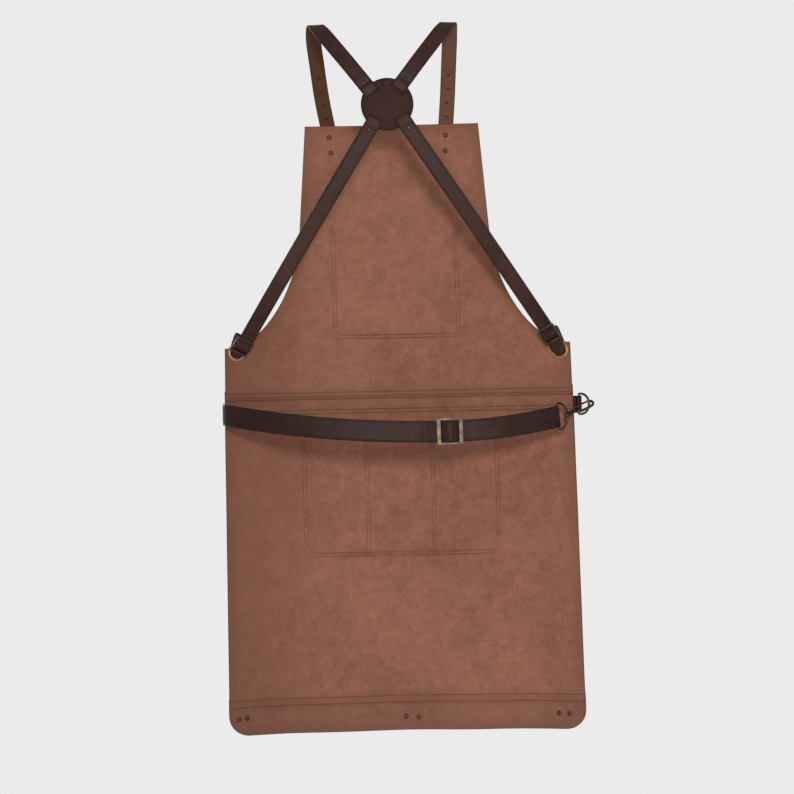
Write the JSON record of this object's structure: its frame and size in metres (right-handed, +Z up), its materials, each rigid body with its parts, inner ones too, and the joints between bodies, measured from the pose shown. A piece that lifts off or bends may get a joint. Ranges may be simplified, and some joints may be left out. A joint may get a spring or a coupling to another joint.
{
  "type": "leather work apron",
  "caption": "Cross-back leather work apron in its worn shape: bib and skirt with pockets, shoulder straps on a round back disc, cross straps with slides, and a belt with a snap hook.",
  "frame": {"origin": "where the wearer's shoulders hold the apron: midway under the shoulder straps' crests", "axes": "+Z up; +Y the way the wearer faces, so the bib is on +Y and the back disc on -Y; +X to the right in the picture, which is taken from behind"},
  "size_m": [0.6103, 0.1795, 1.1665],
  "materials": {
    "panel_leather": "matt brown flesh side, smooth dark grain side",
    "strap_leather": "dark brown, waxed, semi-gloss",
    "aged_brass": "aged, brushed",
    "pale_brass": "polished",
    "dark_bronze": "dark patina, satin"
  },
  "bodies": {
    "apron": {"bib_panel": "panel_leather", "skirt_panel": "panel_leather", "hem_band": "panel_leather", "bib_pocket": "panel_leather", "tool_pocket": "panel_leather", "shoulder_strap_left": "strap_leather", "shoulder_strap_right": "strap_leather", "back_disc": "strap_leather", "cross_strap_left": "strap_leather", "cross_strap_right": "strap_leather", "belt_left": "strap_leather", "belt_right": "strap_leather", "d_ring_tab": "strap_leather", "cross_buckle_left": "aged_brass", "cross_buckle_right": "aged_brass", "belt_buckle": "aged_brass", "snap_eye": "aged_brass", "d_ring": "aged_brass", "corner_eyelet_left": "pale_brass", "corner_eyelet_right": "pale_brass", "bib_rivet_left_upper": "dark_bronze", "bib_rivet_left_lower": "dark_bronze", "bib_rivet_right_upper": "dark_bronze", "bib_rivet_right_lower": "dark_bronze", "disc_rivet_upper_left": "dark_bronze", "disc_rivet_upper_right": "dark_bronze", "disc_rivet_lower_left": "dark_bronze", "disc_rivet_lower_right": "dark_bronze", "hem_rivet_1": "dark_bronze", "hem_rivet_2": "dark_bronze", "hem_rivet_3": "dark_bronze", "hem_rivet_4": "dark_bronze", "hem_rivet_5": "dark_bronze", "hem_rivet_6": "dark_bronze"},
    "hook": {"snap_hook": "aged_brass"},
    "gate": {"snap_gate": "aged_brass"}
  },
  "joints": [
    {"name": "hook_swivel", "type": "hinge", "parent": "apron", "child": "hook", "pos_m": [0.27787, -0.02021, -0.64432], "axis": [0.8778, 0.2453, 0.4114], "range_deg": [-12, 5]},
    {"name": "gate_pivot", "type": "hinge", "parent": "hook", "child": "gate", "pos_m": [0.28926, -0.01111, -0.63389], "axis": [0.1702, 0.6431, -0.7466], "range_deg": [0, 20], "stiffness_Nm_per_rad": 0.15, "springref_deg": -11.46}
  ]
}
